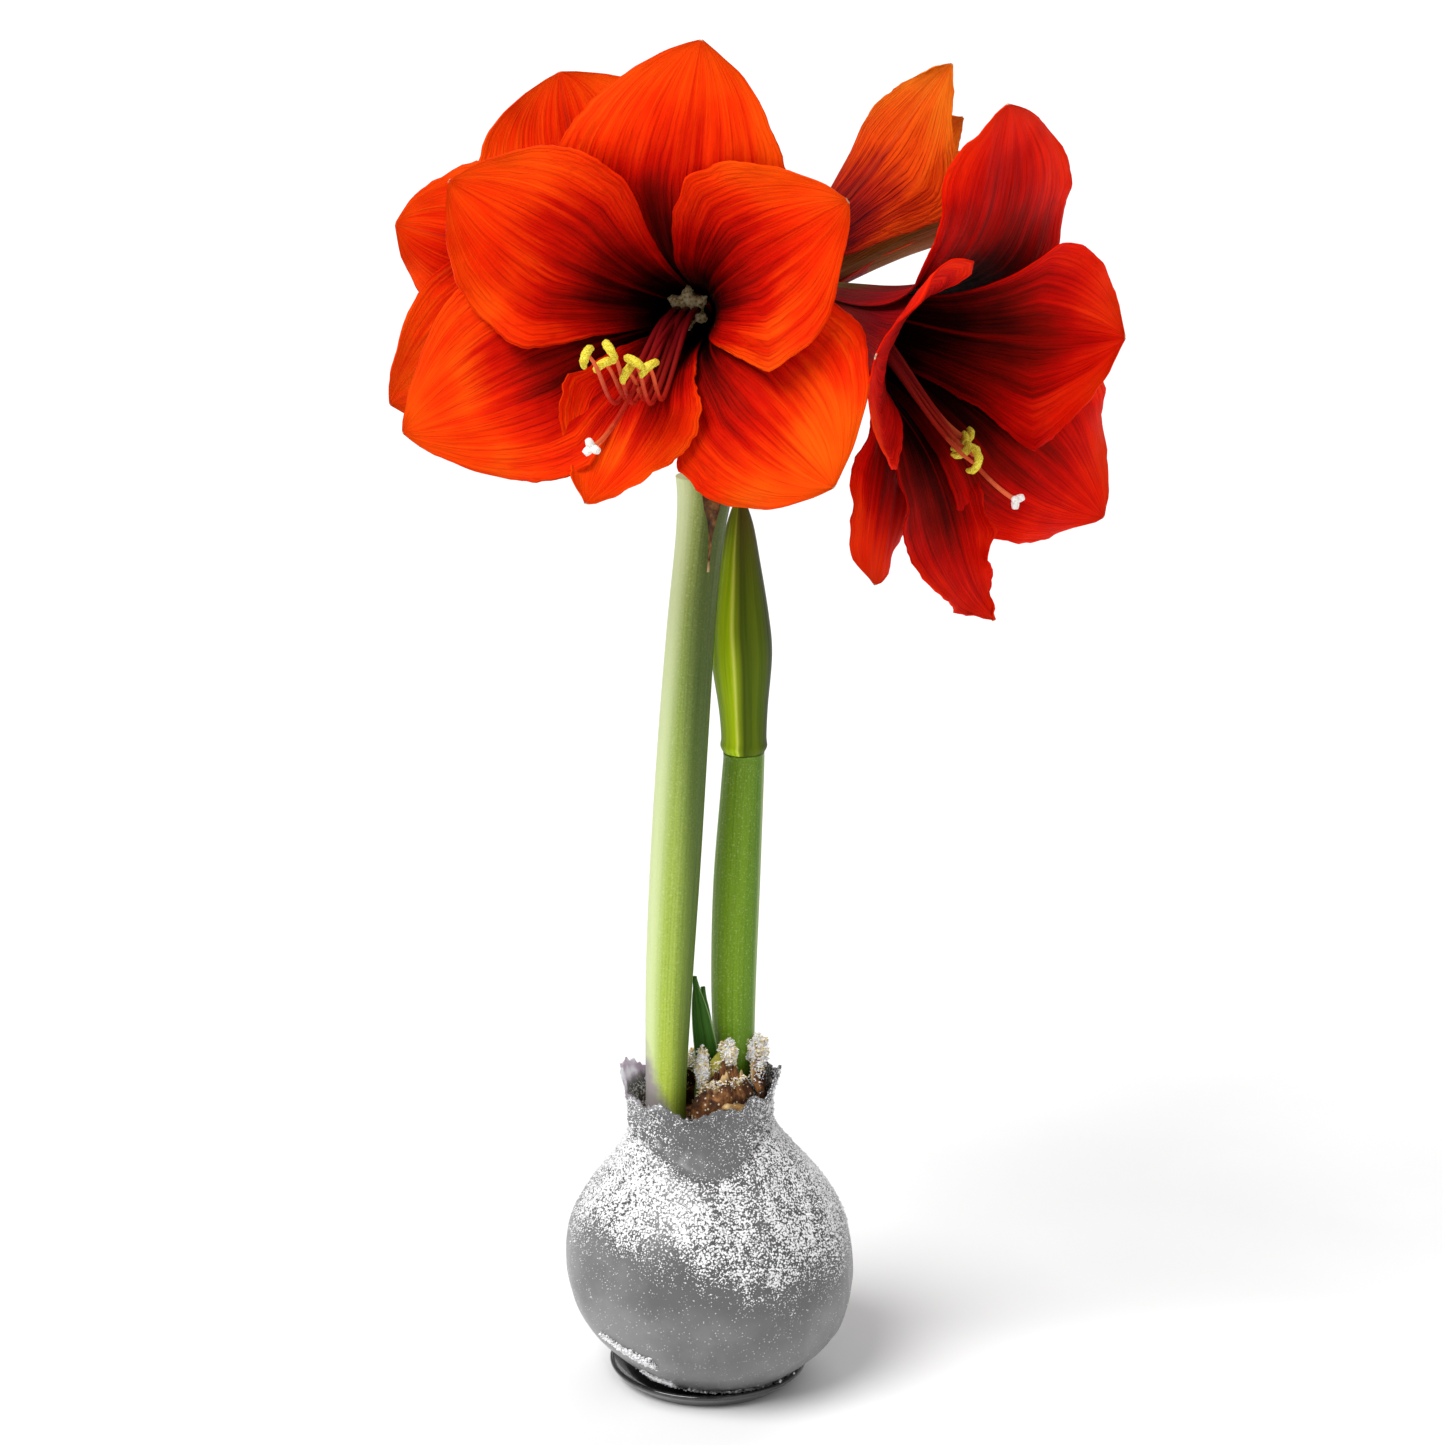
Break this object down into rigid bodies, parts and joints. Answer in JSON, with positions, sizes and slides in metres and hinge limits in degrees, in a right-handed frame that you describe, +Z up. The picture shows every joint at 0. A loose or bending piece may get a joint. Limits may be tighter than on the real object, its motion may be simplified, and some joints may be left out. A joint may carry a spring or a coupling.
{
  "type": "waxed amaryllis bulb in bloom",
  "caption": "Flowering amaryllis bulb dipped in grey wax on a shallow dish, with a leafless flower scape carrying wide blooms and a shorter scape with a closed bud.",
  "frame": {"origin": "on the ground under the middle of the dish", "axes": "+Z up, -Y towards the side the front bloom faces, +X to the right as seen from there"},
  "size_m": [0.2454, 0.2581, 0.4643],
  "materials": {
    "black_lacquer": "gloss",
    "grey_wax": "satin",
    "bulb_skin": "matte",
    "young_leaf": "satin",
    "pale_scape": "satin",
    "green_scape": "satin",
    "bud_green": "satin",
    "dry_bract": "matte",
    "red_petal": "satin",
    "orange_petal": "satin",
    "stamen": "matte",
    "stalk_green": "satin"
  },
  "bodies": {
    "root": {"foot_dish": "black_lacquer", "wax_coat": "grey_wax", "bulb": "bulb_skin", "leaf_shoots": "young_leaf", "main_scape": "pale_scape", "second_scape": "green_scape", "closed_bud": "bud_green", "withered_bract_front": "dry_bract", "withered_bract_back": "dry_bract", "front_bloom": "red_petal", "right_bloom": "red_petal", "rear_bloom": "red_petal", "half_open_bloom": "orange_petal", "front_stamens": "stamen", "right_stamens": "stamen", "rear_stamens": "stamen", "half_open_stamens": "stamen", "front_pedicel": "stalk_green", "right_pedicel": "stalk_green", "rear_pedicel": "stalk_green", "half_open_pedicel": "stalk_green"}
  },
  "joints": []
}
